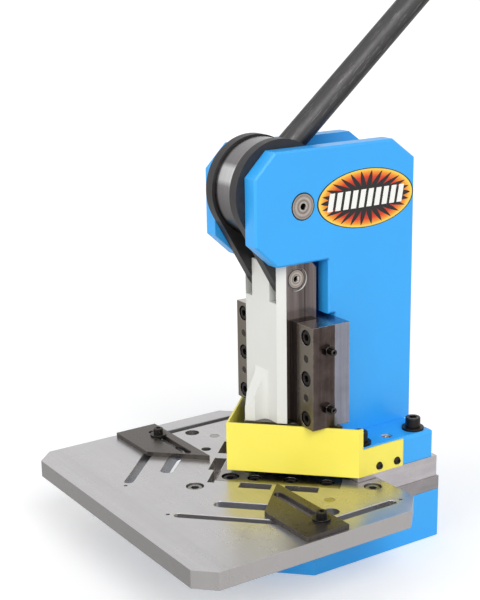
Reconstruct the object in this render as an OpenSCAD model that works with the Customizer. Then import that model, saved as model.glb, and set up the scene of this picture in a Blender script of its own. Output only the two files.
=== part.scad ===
// Hand lever corner notcher: V die in a flat table, punch ram between guides,
// double link and eccentric hub turned by a long tube handle.
// X is to the right, Y to the back, Z up, zero at the underside of the base.

/* [Base] */
// Width of the base box
base_w = 278; // [274:1:290]
// Height of the base box
base_h = 81; // [60:1:120]
// Rear face of the base behind the datum
base_back = 133.2; // [131:0.1:150]
// Distance of the slanted front facets, measured as x minus y
base_facet = 253.6; // [246:0.2:262]
// Flat nose of the base in front of the datum
base_nose = 196; // [186:1:204]
// Wall thickness of the base box
base_wall_t = 10; // [6:1:14]
// Floor thickness of the base box
base_floor_t = 12; // [8:1:20]
// Spacing of the bench bolt holes along X
bolt_dx = 230; // [206:2:234]
// Spacing of the bench bolt holes along Y
bolt_dy = 200; // [160:2:204]
// Diameter of the bench bolt holes
bolt_hole_d = 12; // [10:0.5:16]
// Thickness of the ground plate on the base
base_plate_t = 22; // [20:1:30]

/* [Table] */
// Width of the table
table_w = 520; // [500:2:560]
// Front edge of the table in front of the datum
table_front = 389.9; // [370:0.1:420]
// Rear edge of the table behind the datum
table_rear = 7.7; // [2:0.1:14]
// Thickness of the table
table_t = 27; // [24:1:32]
// Chamfer of the front corners
table_front_chamfer = 28; // [10:1:40]
// Chamfer of the rear corners
table_rear_chamfer = 37; // [20:1:42]
// Width of the long gauge slots in the table
slot_w = 14; // [13:0.5:16]
// Width of the short inner slots
inner_slot_w = 21; // [14:0.5:24]

/* [Die] */
// Point of the cutting V in front of the datum
die_apex = 148; // [146:0.5:150]
// Width of a lower blade
blade_w = 38.2; // [34:0.1:42]
// Length of a cutting edge
blade_l = 154; // [146:1:158]
// Thickness of an upper blade
punch_blade_t = 20; // [14:1:24]
// Opening between the table and the punch at rest
punch_open = 22; // [21:0.5:30]
// Thickness of the shoulder over the upper blades
shoulder_t = 20; // [14:1:26]

/* [Frame] */
// Height of the foot underside above the table
foot_rise = 8.1; // [6:0.1:9]
// Thickness of the foot
foot_t = 45.1; // [36:0.1:60]
// Width of the foot
foot_w = 270.6; // [264:0.2:270.6]
// Rear face of the foot behind the datum
foot_back = 124; // [118:1:130]
// Thickness of a side plate
plate_t = 26.6; // [22:0.2:30]
// Height of the side plates over the foot
plate_h = 459; // [448:1:480]
// Thickness of the rear web
web_t = 25; // [10:1:27]
// Bevel along the plate edges
edge_bevel = 2.5; // [1:0.5:4]

/* [Guides] */
// Underside of the guides above the foot
guide_rise = 34.3; // [34.3:0.1:38]
// Height of the guides
guide_h = 162; // [156:1:166]
// Thickness of the guide back plate
guide_back_t = 28; // [24:1:28]
// Depth of the keepers from front to back
keeper_depth = 41; // [36:1:44]
// Half width over the keepers
keeper_out = 102.5; // [100:0.5:108]

/* [Ram] */
// Width of the ram
ram_w = 104.6; // [102:0.2:108]
// Height of the ram
ram_h = 251; // [246:1:254]
// Diameter of the ram pin
ram_pin_d = 29.6; // [24:0.1:32]
// Reach of the pointed rib in front of the ram
prow_reach = 32.1; // [20:0.1:33]

/* [Drive] */
// Diameter of the main shaft
shaft_d = 41; // [34:0.5:44]
// Width of the eccentric drum
hub_w = 45; // [44:0.5:47]
// Radius of the eccentric drum
hub_r = 76; // [72:0.5:78]
// Radius of the link journals
journal_r = 58; // [54:0.5:59]
// Eccentricity of the drum
ecc = 27.8; // [27:0.1:28.4]
// Thickness of a link
link_t = 16.8; // [14:0.1:17.4]
// Radius of the upper eye of a link
link_big_r = 79; // [77:0.5:80]
// Radius of the lower eye of a link
link_small_r = 30; // [26:0.5:32]
// Outer diameter of the handle tube
handle_d = 40; // [30:0.5:40]
// Wall thickness of the handle tube
handle_wall = 5; // [3:0.5:8]
// Length of the handle tube
handle_l = 585; // [400:5:900]

/* [Guard] */
// Sheet thickness of the guard
guard_t = 3; // [1.5:0.5:3]
// Height of the guard wings
guard_h = 78.4; // [60:0.2:78.4]
// Length of the side flanges along the foot
guard_flange = 88; // [84:1:120]

/* [Gauges] */
// Thickness of a gauge plate
gauge_t = 7.5; // [5:0.1:8]
// Depth of a gauge plate
gauge_depth = 74; // [60:1:80]
// Long edge of a gauge plate
gauge_l = 178; // [170:1:190]
// Width of the slot in a gauge plate
gauge_slot_w = 14; // [12:0.5:16]

/* [Hidden] */
$fn = 64;
// clearances
run_gap = 0.08;
flat_gap = 0.1;
side_gap = 0.4;
clamp_gap = 0.05;
fit_gap = 0.03;
bolt_gap = 0.7;
die_gap = 0.1;
end_gap = 1;
root2 = sqrt(2);
// levels
base_top = base_h;
plate_top = base_top + base_plate_t;
table_top = plate_top + table_t;
foot_z = table_top + foot_rise;
foot_top = foot_z + foot_t;
guide_z = foot_top + guide_rise;
guide_top = guide_z + guide_h;
ram_z = foot_top + 33.8;
ram_top = ram_z + ram_h;
pin_inset = 24;
pin_z = ram_top - pin_inset;
// from the ram's pin up to the plates' overhang and to the shaft
head_rise = 26.7;
head_z = pin_z + head_rise;
pin_to_shaft = 113.7;
shaft_z = pin_z + pin_to_shaft;
plates_top = foot_top + plate_h;
punch_z = table_top + punch_open;
shoulder_z = ram_z - shoulder_t;
// plan positions
foot_front = -30;
shaft_y = -82.7;
plate_front = -21.5;
guide_y = plate_front - guide_back_t;
keeper_y = guide_y - keeper_depth;
spacer_hw = 136.7;
spacer_back = 130;
notch_hw = 137.7;
notch_y = -31;
// widths across the drive
link_in = hub_w / 2 + 1.1;
link_out = link_in + link_t;
journal_out = link_out + side_gap;
plate_in = journal_out + side_gap;
plate_out = plate_in + plate_t;
plate_mid = (plate_in + plate_out) / 2;
bevel_step = 0.5;
// eccentric
ecc_angle = 134;
ecc_y = shaft_y + ecc * cos(ecc_angle);
ecc_z = shaft_z + ecc * sin(ecc_angle);
strap_gap = 2.1;
strap_y = ecc_y - 1.9;
// die lines, measured square to the cutting edges
die_u = die_apex / root2;
blade_u = die_u + blade_w;
blade_v = blade_l - die_u;
punch_u = die_u - die_gap;
window_u = blade_u + 1.4;
window_w = 19.8;
blade_screw_pitch = 57;
blade_screw_v = blade_v - 21;
blade_bolt_v = -66;
blade_bolt_pitch = 36;
holder_screw_side = [26, -56];
holder_screw_front = [0, -80];
// ram plan
ram_hw = ram_w / 2;
ram_rear = -47;
ram_front = -113.9;
ram_chamfer = 11;
prow_y = ram_front - prow_reach;
prow_hw = 11.4;
prow_corner_r = 9;
gib_in = ram_hw + run_gap;
keeper_in = 62.5;
tongue_y = -70;
tongue_w = 12;
tongue_d = 8;
tongue_h = 122;
groove_top = ram_z + 155;
pin_sink = 2.5;
// handle line in the plane of the shaft
handle_a = 40.5;
handle_y = -100.9;
handle_z = 602.9 - 557.7 + shaft_z;
// guard lines
guard_z = table_top + 8.5;
guard_right = 168;
guard_left = 184;
guard_out = foot_w / 2 + guard_t;
// gauges
gauge_z = table_top + flat_gap;
gauge_top = gauge_z + gauge_t;
gauge_washer_t = 3;
gauge_slot_in = 22;
gauge_head_h = 10;
gauge_clamp_z = gauge_top + clamp_gap;
right_tip = [78, -141];
left_tip = [75, -166];
right_screw = [220, -163];
left_screw = [202, -188];
// table details
slot_a = [76, -314];
slot_b = [220, -170];
slot_c = [220, -33];
table_screw_side = [159, -19.3];
table_screw_front = [0, -240];
table_dowel = [160, -103];
tab_side_x = 181;
tab_side_front = -120;
tab_side_back = 5;
tab_front_hw = 30;
tab_front_y = -265;
foot_bolt_x = 113;
foot_bolt_y0 = -8;
foot_bolt_y1 = 99;
jack_y = 45.6;
keeper_screw_x = 84.4;
keeper_screw_z = [15, 79, 144];
keeper_dowel_z = [48.2, 110.5];
set_screw_z = [31.5, 123.5];
set_screw_y = -62;
plate_screw_z = [27, 82, 137];

function side_profile() = [[plate_front, foot_top], [plate_front, guide_top + 5.4],
    [-34.5, guide_top + 5.4], [-34.5, head_z], [-128, head_z],
    [-167.6, head_z + 35.7], [-167.6, plates_top - 36.1], [-131.2, plates_top],
    [87.8, plates_top], [132.1, plates_top - 32.7], [132.1, foot_top]];

// true where the outline turns outward at point i, so that a bevel may run past it
function outward(pts, i) = i == 0 || i == len(pts) - 1
    || cross(pts[i] - pts[i - 1], pts[i + 1] - pts[i]) < 0;

module box(x0, x1, y0, y1, z0, z1) {
    translate([x0, y0, z0])
        cube([x1 - x0, y1 - y0, z1 - z0]);
}

module rod_z(x, y, z0, z1, d) {
    translate([x, y, z0])
        cylinder(d = d, h = z1 - z0);
}

module rod_x(y, z, x0, x1, d) {
    translate([x0, y, z])
        rotate([0, 90, 0])
            cylinder(d = d, h = x1 - x0);
}

module rod_y(x, z, y0, y1, d) {
    translate([x, y1, z])
        rotate([90, 0, 0])
            cylinder(d = d, h = y1 - y0);
}

module slab(pts, z0, z1) {
    translate([0, 0, z0])
        linear_extrude(z1 - z0)
            polygon(pts);
}

module prism_x(pts, x0, x1) {
    translate([x0, 0, 0])
        rotate([90, 0, 90])
            linear_extrude(x1 - x0)
                polygon(pts);
}

// box given along the right hand cutting edge: v along it, u square to it
module edge_box(v0, v1, u0, u1, z0, z1) {
    rotate([0, 0, 45])
        box(v0, v1, -u1, -u0, z0, z1);
}

// bevel of size c on the edge from p to q in the plane x, run on by e0 and e1 at its ends
module bevel_cut(p, q, x, c, e0, e1) {
    translate([x, p[0], p[1]])
        rotate([atan2(q[1] - p[1], q[0] - p[0]), 0, 0])
            rotate([0, 45, 0])
                translate([-3 * c, -e0, -c / root2])
                    cube([6 * c, norm(q - p) + e0 + e1, 5 * c]);
}

module slot_cut(p, q, w, z0, z1, c) {
    reach = norm(q - p);
    translate([p[0], p[1], 0])
        rotate([0, 0, atan2(q[1] - p[1], q[0] - p[0])]) {
            box(0, reach, -w / 2, w / 2, z0 - 1, z1 + 1);
            rod_z(0, 0, z0 - 1, z1 + 1, w);
            rod_z(reach, 0, z0 - 1, z1 + 1, w);
            translate([0, 0, z1 - c])
                cylinder(d1 = w, d2 = w + 4 * c, h = 2 * c);
            translate([reach, 0, z1 - c])
                cylinder(d1 = w, d2 = w + 4 * c, h = 2 * c);
            prism_x([[-w / 2, z1 - c], [w / 2, z1 - c], [w / 2 + 2 * c, z1 + c],
                [-w / 2 - 2 * c, z1 + c]], 0, reach);
        }
}

// screw with its head seated at z 0 and the shank pointing down
module cap_screw(head_d, head_h, key_d, key_h, shank_d, shank_l) {
    difference() {
        union() {
            cylinder(d = head_d, h = head_h - 1);
            translate([0, 0, head_h - 1])
                cylinder(d1 = head_d, d2 = head_d - 2, h = 1);
            translate([0, 0, -shank_l])
                cylinder(d = shank_d, h = shank_l + 1);
        }
        translate([0, 0, head_h - key_h])
            cylinder(d = key_d, h = key_h + 1, $fn = 6);
    }
}

module both_sides() {
    children();
    mirror([1, 0, 0])
        children();
}

// ---------------------------------------------------------------- base

module base_plan(hw, back, facet, nose) {
    polygon([[-hw, back], [-hw, hw - facet], [nose - facet, -nose],
        [facet - nose, -nose], [hw, hw - facet], [hw, back]]);
}

module scrap_plan() {
    polygon([[0, -die_apex - 2], [die_apex + 2 + notch_y - 1, notch_y - 1],
        [-die_apex - 2 - notch_y + 1, notch_y - 1]]);
}

module base_box() {
    color("steelblue")
        difference() {
            linear_extrude(base_h)
                base_plan(base_w / 2, base_back, base_facet, base_nose);
            translate([0, 0, base_floor_t])
                linear_extrude(base_h)
                    base_plan(base_w / 2 - base_wall_t, base_back - base_wall_t,
                        base_facet - base_wall_t * root2, base_nose - base_wall_t);
            translate([0, 0, -1])
                linear_extrude(base_floor_t + 2)
                    scrap_plan();
            for (sx = [-1, 1])
                for (sy = [-1, 1])
                    rod_z(sx * bolt_dx / 2, sy * bolt_dy / 2, -1, base_floor_t + 1, bolt_hole_d);
        }
}

module base_plate() {
    hw = base_w / 2 - 0.5;
    back = base_back + 0.5;
    color("silver")
        difference() {
            union() {
                translate([0, 0, base_top])
                    linear_extrude(base_plate_t)
                        base_plan(hw, back, base_facet, base_nose);
                box(-tab_side_x, tab_side_x, tab_side_front, tab_side_back, base_top, plate_top);
                box(-tab_front_hw, tab_front_hw, tab_front_y, 0, base_top, plate_top);
            }
            translate([0, 0, base_top - 1])
                linear_extrude(base_plate_t + 2)
                    scrap_plan();
            both_sides() {
                rod_z(foot_bolt_x, foot_bolt_y0, plate_top - 18, plate_top + 1, 16 + 2 * fit_gap);
                rod_z(foot_bolt_x, foot_bolt_y1, plate_top - 18, plate_top + 1, 16 + 2 * fit_gap);
                rod_z(table_screw_side[0], table_screw_side[1], plate_top - 18, plate_top + 1,
                    16 + 2 * fit_gap);
                rod_z(table_dowel[0], table_dowel[1], plate_top - 15, plate_top + 1,
                    17 + 2 * fit_gap);
                blade_screw_places()
                    rod_z(0, 0, plate_top - 18, plate_top + 1, 12 + 2 * fit_gap);
            }
            rod_z(table_screw_front[0], table_screw_front[1], plate_top - 18, plate_top + 1,
                16 + 2 * fit_gap);
            corner_screw_place()
                rod_z(0, 0, plate_top - 18, plate_top + 1, 16 + 2 * fit_gap);
        }
}

// ---------------------------------------------------------------- table and die

module blade_screw_places() {
    for (i = [0:2])
        rotate([0, 0, 45])
            translate([blade_screw_v - i * blade_screw_pitch, -die_u - blade_w / 2, 0])
                children();
}

module corner_screw_place() {
    rotate([0, 0, 45])
        translate([-die_u - blade_w / 2, -die_u - blade_w / 2, 0])
            children();
}

module table_half_cuts() {
    // pocket of the lower blade, windows beside it
    edge_box(-blade_u - end_gap, blade_v + end_gap, die_u - 1, blade_u + flat_gap,
        plate_top - 1, table_top + 1);
    edge_box(-103.2, -53.7, window_u, window_u + window_w, plate_top - 1, table_top + 1);
    edge_box(-33.2, 19.1, window_u, window_u + window_w, plate_top - 1, table_top + 1);
    // long gauge slot with its two straight runs
    slot_cut(slot_a, slot_b, slot_w, plate_top, table_top, 1);
    slot_cut(slot_b, slot_c, slot_w, plate_top, table_top, 1);
    // short inner slot
    slot_cut([79, -243], [150, -172], inner_slot_w, plate_top, table_top, 1);
    // drilled spots off the slot ends
    rod_z(slot_a[0] - 12, slot_a[1] - 12, table_top - 4, table_top + 1, 6);
    rod_z(slot_c[0], slot_c[1] + 17, table_top - 4, table_top + 1, 6);
    // through holes
    rod_z(195, -126, plate_top - 1, table_top + 1, 24);
    rod_z(118, -146, plate_top - 1, table_top + 1, 16);
    // side screw with counterbore, dowel hole
    rod_z(table_screw_side[0], table_screw_side[1], plate_top - 1, table_top + 1,
        16 + 2 * bolt_gap);
    rod_z(table_screw_side[0], table_screw_side[1], table_top - 18, table_top + 1, 28);
    rod_z(table_dowel[0], table_dowel[1], plate_top - 1, table_top + 1, 17 + 2 * fit_gap);
}

module table() {
    fx = table_w / 2;
    color("silver")
        difference() {
            slab([[-fx, table_front_chamfer - table_front],
                [table_front_chamfer - fx, -table_front],
                [fx - table_front_chamfer, -table_front],
                [fx, table_front_chamfer - table_front],
                [fx, table_rear - table_rear_chamfer],
                [fx - table_rear_chamfer, table_rear],
                [table_rear_chamfer - fx, table_rear],
                [-fx, table_rear - table_rear_chamfer]], plate_top, table_top);
            // rear notch round the spacer block
            box(-notch_hw, notch_hw, notch_y, table_rear + 1, plate_top - 1, table_top + 1);
            // scrap opening inside the cutting V
            slab([[0, -die_apex - 1], [die_apex + 1 + notch_y + 1, notch_y + 1],
                [-die_apex - 2 - notch_y, notch_y + 1]], plate_top - 1, table_top + 1);
            both_sides()
                table_half_cuts();
            // extra narrow slot on the left only
            mirror([1, 0, 0])
                edge_box(-152, -102, window_u, window_u + 10.6, plate_top - 1, table_top + 1);
            rod_z(table_screw_front[0], table_screw_front[1], plate_top - 1, table_top + 1,
                16 + 2 * bolt_gap);
            rod_z(table_screw_front[0], table_screw_front[1], table_top - 18, table_top + 1, 28);
        }
}

module table_screws() {
    color("dimgray") {
        both_sides()
            translate([table_screw_side[0], table_screw_side[1], table_top - 18])
                cap_screw(24, 16, 14, 8, 16, table_t);
        translate([table_screw_front[0], table_screw_front[1], table_top - 18])
            cap_screw(24, 16, 14, 8, 16, table_t);
    }
}

module table_dowels() {
    color("silver")
        both_sides()
            rod_z(table_dowel[0], table_dowel[1], plate_top - 15, table_top - 0.3, 17);
}

module lower_blade(v_start) {
    difference() {
        edge_box(v_start, blade_v, die_u, blade_u, plate_top, table_top);
        blade_screw_places() {
            rod_z(0, 0, plate_top - 1, table_top + 1, 12 + 2 * bolt_gap);
            rod_z(0, 0, table_top - 14, table_top + 1, 22);
        }
        corner_screw_place() {
            rod_z(0, 0, plate_top - 1, table_top + 1, 16 + 2 * bolt_gap);
            rod_z(0, 0, table_top - 18, table_top + 1, 28);
        }
    }
}

module lower_blade_right() {
    color("lightgray")
        lower_blade(-blade_u);
}

module lower_blade_left() {
    color("lightgray")
        mirror([1, 0, 0])
            lower_blade(-die_u);
}

module lower_blade_screws() {
    color("dimgray")
        both_sides()
            blade_screw_places()
                translate([0, 0, table_top - 14])
                    cap_screw(18, 12, 10, 6, 12, table_t + 3);
}

module corner_screw() {
    color("dimgray")
        corner_screw_place()
            translate([0, 0, table_top - 18])
                cap_screw(24, 16, 14, 8, 16, table_t);
}

// ---------------------------------------------------------------- frame

module spacer_block() {
    color("silver")
        difference() {
            box(-spacer_hw, spacer_hw, foot_front, spacer_back, plate_top, foot_z);
            both_sides() {
                rod_z(foot_bolt_x, foot_bolt_y0, plate_top - 1, foot_z + 1, 16 + 2 * bolt_gap);
                rod_z(foot_bolt_x, foot_bolt_y1, plate_top - 1, foot_z + 1, 16 + 2 * bolt_gap);
            }
        }
}

module foot() {
    hw = foot_w / 2;
    c = 4.5;
    color("steelblue")
        difference() {
            slab([[-hw, foot_front + c], [c - hw, foot_front], [hw - c, foot_front],
                [hw, foot_front + c], [hw, foot_back - c], [hw - c, foot_back],
                [c - hw, foot_back], [-hw, foot_back - c]], foot_z, foot_top);
            // bevel round the top edge
            both_sides()
                bevel_cut([foot_front, foot_top], [foot_back, foot_top], hw, c, c, c);
            rotate([0, 0, -90])
                bevel_cut([-hw, foot_top], [hw, foot_top], -foot_front, c, c, c);
            rotate([0, 0, 90])
                bevel_cut([-hw, foot_top], [hw, foot_top], foot_back, c, c, c);
            both_sides() {
                rod_z(foot_bolt_x, foot_bolt_y0, foot_z - 1, foot_top + 1, 16 + 2 * bolt_gap);
                rod_z(foot_bolt_x, foot_bolt_y1, foot_z - 1, foot_top + 1, 16 + 2 * bolt_gap);
                rod_z(foot_bolt_x, jack_y, foot_z - 1, foot_top + 1, 18);
                for (y = [10.5, 46])
                    rod_x(y, foot_z + 11.4, hw - 16, hw + 1, 8 + 2 * fit_gap);
            }
        }
}

module foot_bolts() {
    color("dimgray")
        both_sides()
            for (y = [foot_bolt_y0, foot_bolt_y1])
                translate([foot_bolt_x, y, foot_top + 4])
                    cap_screw(24, 16, 14, 9, 16, foot_top + 4 - plate_top + 16);
}

module foot_washers() {
    color("dimgray")
        both_sides()
            for (y = [foot_bolt_y0, foot_bolt_y1])
                difference() {
                    rod_z(foot_bolt_x, y, foot_top, foot_top + 4, 35);
                    rod_z(foot_bolt_x, y, foot_top - 1, foot_top + 5, 16 + 2 * bolt_gap);
                }
}

module side_plate() {
    pts = side_profile();
    n = len(pts);
    difference() {
        prism_x(pts, plate_in, plate_out);
        // bevel round the outer face
        for (i = [0:n - 2])
            bevel_cut(pts[i], pts[i + 1], plate_out, edge_bevel + bevel_step * (i % 2),
                outward(pts, i) ? edge_bevel : -0.3, outward(pts, i + 1) ? edge_bevel : -0.3);
        // shaft bore with the seat of the bush from inside
        rod_x(shaft_y, shaft_z, plate_in - 1, plate_out + 1, shaft_d + 2 * side_gap);
        rod_x(shaft_y, shaft_z, plate_in - 1, plate_in + 20, shaft_d + 9 + 2 * fit_gap);
        // tapped holes of the guide back plate
        for (z = plate_screw_z)
            rod_y(plate_mid, guide_z + z, plate_front - 1, plate_front + 28, 10 + 2 * fit_gap);
    }
}

module side_plate_right() {
    color("steelblue")
        side_plate();
}

module side_plate_left() {
    color("steelblue")
        mirror([1, 0, 0])
            side_plate();
}

module back_web() {
    color("steelblue")
        box(-plate_in, plate_in, foot_back - 4.5 - web_t, foot_back - 4.5, foot_top,
            plates_top - 42);
}

module bush() {
    difference() {
        rod_x(shaft_y, shaft_z, plate_in, plate_in + 20, shaft_d + 9);
        rod_x(shaft_y, shaft_z, plate_in - 1, plate_in + 21, shaft_d + 2 * run_gap);
    }
}

module bush_right() {
    color("peru")
        bush();
}

module bush_left() {
    color("peru")
        mirror([1, 0, 0])
            bush();
}

// ---------------------------------------------------------------- guard

module guard() {
    k = guard_t * root2;
    gx = guard_out;
    ix = guard_out - guard_t;
    yr = gx - guard_right;
    yl = gx - guard_left;
    jr = ix - guard_right + k;
    jl = ix - guard_left + k;
    ax = (guard_right - guard_left) / 2;
    ay = -(guard_right + guard_left) / 2;
    fy = guard_flange;
    color("gold")
        difference() {
            union() {
                slab([[gx, yr], [gx, yr + 8], [ix, yr + 8], [ix, jr], [ax, ay + k],
                    [-ix, jl], [-ix, yl + 8], [-gx, yl + 8], [-gx, yl], [ax, ay]],
                    guard_z, guard_z + guard_h);
                slab([[gx, yr], [gx, yr + fy], [ix, yr + fy], [ix, jr]],
                    guard_z, foot_top - 0.5);
                slab([[-gx, yl], [-gx, yr + fy], [-ix, yr + fy], [-ix, jl]],
                    guard_z, foot_top - 0.5);
            }
            both_sides()
                for (y = [10.5, 46])
                    rod_x(y, foot_z + 11.4, ix - 1, gx + 1, 8 + 2 * bolt_gap);
        }
}

module guard_screws() {
    color("dimgray")
        both_sides()
            for (y = [10.5, 46])
                translate([guard_out, y, foot_z + 11.4])
                    rotate([0, 90, 0])
                        difference() {
                            union() {
                                cylinder(d1 = 13, d2 = 9, h = 3.6);
                                translate([0, 0, -16])
                                    cylinder(d = 8, h = 17);
                            }
                            translate([0, 0, 1.6])
                                cylinder(d = 5.4, h = 3, $fn = 6);
                        }
}

// ---------------------------------------------------------------- guides

module guide_back_plate() {
    color("slategray")
        difference() {
            box(-keeper_out, keeper_out, guide_y, plate_front, guide_z, guide_top);
            // channel behind the ram
            box(-ram_hw - side_gap, ram_hw + side_gap, guide_y - 1, ram_rear + flat_gap,
                guide_z - 1, guide_top + 1);
            both_sides() {
                for (z = plate_screw_z) {
                    rod_y(plate_mid, guide_z + z, guide_y - 1, plate_front + 1,
                        10 + 2 * bolt_gap);
                    rod_y(plate_mid, guide_z + z, guide_y - 1, guide_y + 14, 17);
                }
                for (z = keeper_screw_z)
                    rod_y(keeper_screw_x, guide_z + z, guide_y - 1, guide_y + 20,
                        14 + 2 * fit_gap);
                for (z = keeper_dowel_z)
                    rod_y(keeper_screw_x, guide_z + z, guide_y - 1, guide_y + 14,
                        12 + 2 * fit_gap);
            }
        }
}

module guide_plate_screws() {
    color("dimgray")
        both_sides()
            for (z = plate_screw_z)
                translate([plate_mid, guide_y + 14, guide_z + z])
                    rotate([90, 0, 0])
                        cap_screw(16, 10, 9, 5, 10, guide_back_t - 14 + 26);
}

module keeper() {
    difference() {
        box(keeper_in, keeper_out, keeper_y, guide_y, guide_z, guide_top);
        for (z = keeper_screw_z) {
            rod_y(keeper_screw_x, guide_z + z, keeper_y - 1, guide_y + 1, 14 + 2 * bolt_gap);
            rod_y(keeper_screw_x, guide_z + z, keeper_y - 1, keeper_y + 15, 24);
        }
        for (z = keeper_dowel_z)
            rod_y(keeper_screw_x, guide_z + z, keeper_y - 1, guide_y + 1, 12 + 2 * fit_gap);
        for (z = set_screw_z)
            rod_x(set_screw_y, guide_z + z, keeper_in - 1, keeper_out + 1, 10 + 2 * fit_gap);
    }
}

module keeper_right() {
    color("dimgray")
        keeper();
}

module keeper_left() {
    color("dimgray")
        mirror([1, 0, 0])
            keeper();
}

module keeper_screws() {
    color("dimgray")
        both_sides()
            for (z = keeper_screw_z)
                translate([keeper_screw_x, keeper_y + 15, guide_z + z])
                    rotate([90, 0, 0])
                        cap_screw(21, 14, 12, 7, 14, keeper_depth - 15 + 18);
}

module keeper_dowels() {
    color("silver")
        both_sides()
            for (z = keeper_dowel_z)
                rod_y(keeper_screw_x, guide_z + z, keeper_y + 0.5, guide_y + 14, 12);
}

module gib() {
    union() {
        box(gib_in, keeper_in, keeper_y, guide_y, guide_z, guide_top);
        box(gib_in - tongue_d, gib_in + 1, tongue_y - tongue_w / 2, tongue_y + tongue_w / 2,
            guide_z + 4.5, guide_z + 4.5 + tongue_h);
    }
}

module gib_right() {
    color("gray")
        gib();
}

module gib_left() {
    color("gray")
        mirror([1, 0, 0])
            gib();
}

module gib_set_screws() {
    color("dimgray")
        both_sides()
            for (z = set_screw_z)
                difference() {
                    rod_x(set_screw_y, guide_z + z, keeper_in, keeper_out + 15, 10);
                    translate([keeper_out + 9, set_screw_y, guide_z + z])
                        rotate([0, 90, 0])
                            cylinder(d = 5.8, h = 7, $fn = 6);
                }
}

module gib_lock_nuts() {
    color("dimgray")
        both_sides()
            for (z = set_screw_z)
                difference() {
                    translate([keeper_out, set_screw_y, guide_z + z])
                        rotate([0, 90, 0])
                            cylinder(d = 18.9, h = 6, $fn = 6);
                    rod_x(set_screw_y, guide_z + z, keeper_out - 1, keeper_out + 7,
                        10 + 2 * fit_gap);
                }
}

// ---------------------------------------------------------------- ram and punch

module ram() {
    color("ivory")
        difference() {
            union() {
                slab([[-ram_hw, ram_rear], [-ram_hw, ram_front + ram_chamfer],
                    [ram_chamfer - ram_hw, ram_front], [ram_hw - ram_chamfer, ram_front],
                    [ram_hw, ram_front + ram_chamfer], [ram_hw, ram_rear]], ram_z, ram_top);
                // pointed rib over the tip of the punch, with a hollow corner at each side
                intersection() {
                    union() {
                        slab([[-prow_hw, ram_front + 1], [-prow_hw, prow_y + prow_hw],
                            [0, prow_y], [prow_hw, prow_y + prow_hw],
                            [prow_hw, ram_front + 1]], ram_z, ram_z + 90);
                        both_sides()
                            difference() {
                                box(prow_hw - 1, prow_hw + prow_corner_r,
                                    ram_front - prow_corner_r, ram_front + 1, ram_z, ram_z + 90);
                                rod_z(prow_hw + prow_corner_r, ram_front - prow_corner_r,
                                    ram_z - 1, ram_z + 91, 2 * prow_corner_r);
                            }
                    }
                    prism_x([[prow_y - 1, ram_z], [prow_y - 1, ram_z + 18],
                        [ram_front, ram_z + 80], [ram_front + 1, ram_z + 80],
                        [ram_front + 1, ram_z]], -ram_hw, ram_hw);
                }
            }
            // chamfer of the rear top edge
            prism_x([[ram_rear + 1, ram_top - 11], [ram_rear + 1, ram_top + 1],
                [ram_rear - 10, ram_top + 1]], -ram_hw - 1, ram_hw + 1);
            both_sides() {
                // slot of the link
                box(link_in - side_gap, link_out + side_gap, ram_front - 1, ram_rear + 1,
                    pin_z - link_small_r - 6, ram_top + 1);
                // counterbore of the pin
                rod_x(shaft_y, pin_z, ram_hw - pin_sink, ram_hw + 1, ram_pin_d + 6.8);
                // groove of the gib tongue
                box(gib_in - tongue_d - side_gap, ram_hw + 1, tongue_y - tongue_w / 2 - side_gap,
                    tongue_y + tongue_w / 2 + side_gap, ram_z - 1, groove_top);
                // tapped holes of the holder screws
                rod_z(holder_screw_side[0], holder_screw_side[1], ram_z - 1, ram_z + 30,
                    14 + 2 * fit_gap);
            }
            rod_z(holder_screw_front[0], holder_screw_front[1], ram_z - 1, ram_z + 30,
                14 + 2 * fit_gap);
            rod_x(shaft_y, pin_z, -ram_hw - 1, ram_hw + 1, ram_pin_d + 2 * fit_gap);
        }
}

module centre_holes(x, z) {
    both_sides()
        translate([x + 0.1, shaft_y, z])
            rotate([0, -90, 0]) {
                cylinder(d1 = 10, d2 = 3, h = 6);
                cylinder(d = 3, h = 9);
            }
}

module ram_pin() {
    color("silver")
        difference() {
            rod_x(shaft_y, pin_z, pin_sink - ram_hw, ram_hw - pin_sink, ram_pin_d);
            centre_holes(ram_hw - pin_sink, pin_z);
        }
}

module v_plan(u) {
    rear = (blade_v - punch_u) / root2;
    tip = -u * root2;
    polygon([[0, tip], [rear - tip, rear], [tip - rear, rear]]);
}

module punch_holder() {
    color("gray")
        difference() {
            union() {
                translate([0, 0, shoulder_z])
                    linear_extrude(shoulder_t)
                        v_plan(punch_u);
                translate([0, 0, punch_z + 5])
                    linear_extrude(shoulder_z - punch_z - 5)
                        v_plan(punch_u - punch_blade_t - fit_gap);
            }
            both_sides()
                for (i = [0:2])
                    rotate([0, 0, 45])
                        translate([blade_bolt_v + i * blade_bolt_pitch, -punch_u, shoulder_z - 20])
                            rotate([-90, 0, 0])
                                cylinder(d = 8 + 2 * fit_gap, h = punch_blade_t + 12);
            both_sides() {
                rod_z(holder_screw_side[0], holder_screw_side[1], punch_z, ram_z + 1,
                    14 + 2 * bolt_gap);
                rod_z(holder_screw_side[0], holder_screw_side[1], punch_z, shoulder_z, 23);
            }
            rod_z(holder_screw_front[0], holder_screw_front[1], punch_z, ram_z + 1,
                14 + 2 * bolt_gap);
            rod_z(holder_screw_front[0], holder_screw_front[1], punch_z, shoulder_z, 23);
        }
}

module holder_screws() {
    color("dimgray")
        for (p = [holder_screw_side, [-holder_screw_side[0], holder_screw_side[1]],
            holder_screw_front])
            translate([p[0], p[1], shoulder_z])
                rotate([180, 0, 0])
                    cap_screw(21, 14, 12, 7, 14, shoulder_t + 26);
}

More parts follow.
